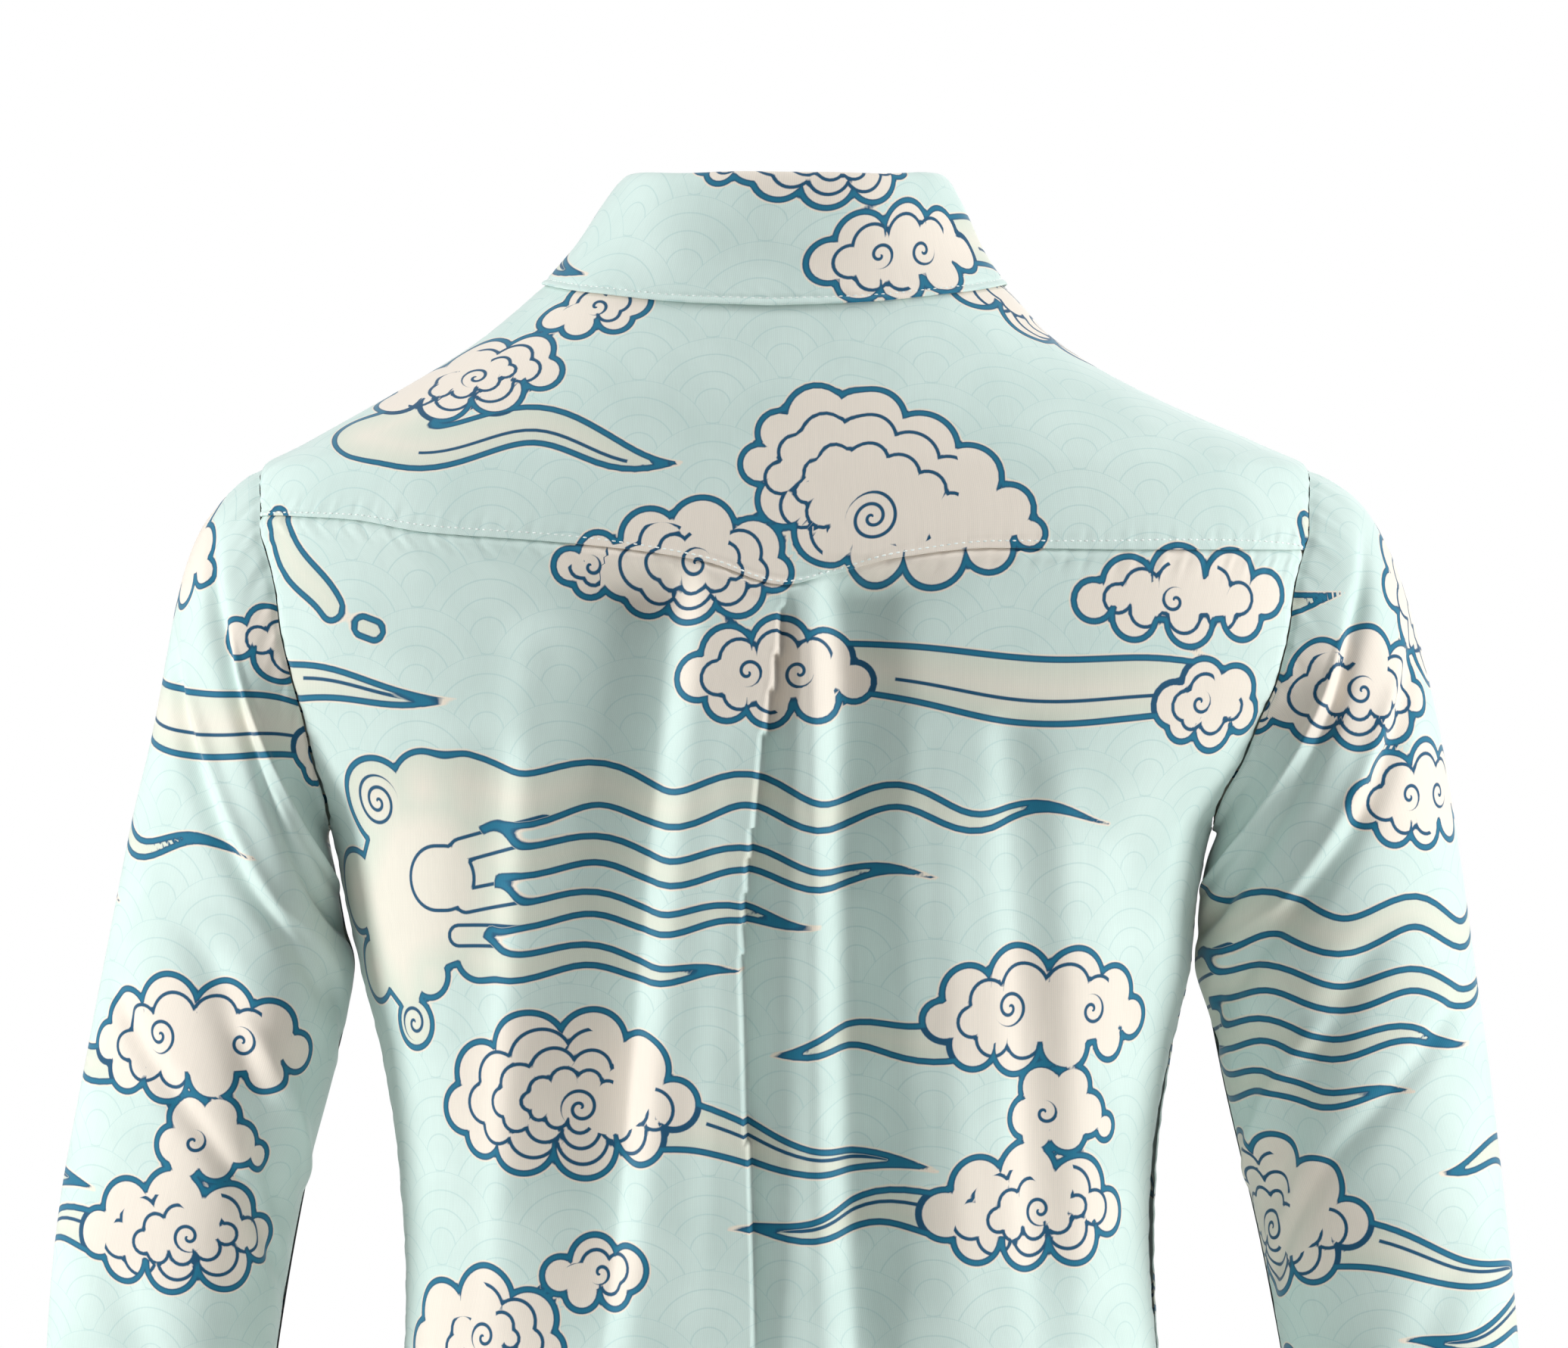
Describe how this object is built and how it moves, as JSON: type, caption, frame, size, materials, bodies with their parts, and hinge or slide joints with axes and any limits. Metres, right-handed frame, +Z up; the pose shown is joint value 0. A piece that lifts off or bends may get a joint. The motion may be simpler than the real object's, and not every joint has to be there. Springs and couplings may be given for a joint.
{
  "type": "golf shirt",
  "caption": "Long-sleeved golf shirt in light woven cloth with a cloud print, a fold-over collar, a half placket and a pleated back, filled out as if worn.",
  "frame": {"origin": "the middle of the neck, level with the collar's seam at the sides", "axes": "+Z up along the wearer, -Y the way the wearer faces, +X to the wearer's left"},
  "size_m": [0.651, 0.2417, 0.7767],
  "materials": {
    "printed_cloth": "matte",
    "button": "gloss"
  },
  "bodies": {
    "root": {"back": "printed_cloth", "yoke": "printed_cloth", "front": "printed_cloth", "placket_under": "printed_cloth", "placket_over": "printed_cloth", "collar_stand": "printed_cloth", "collar_leaf": "printed_cloth", "sleeve_left": "printed_cloth", "sleeve_right": "printed_cloth", "cuff_left": "printed_cloth", "cuff_right": "printed_cloth", "button_collar": "button", "button_placket_1": "button", "button_placket_2": "button"}
  },
  "joints": []
}
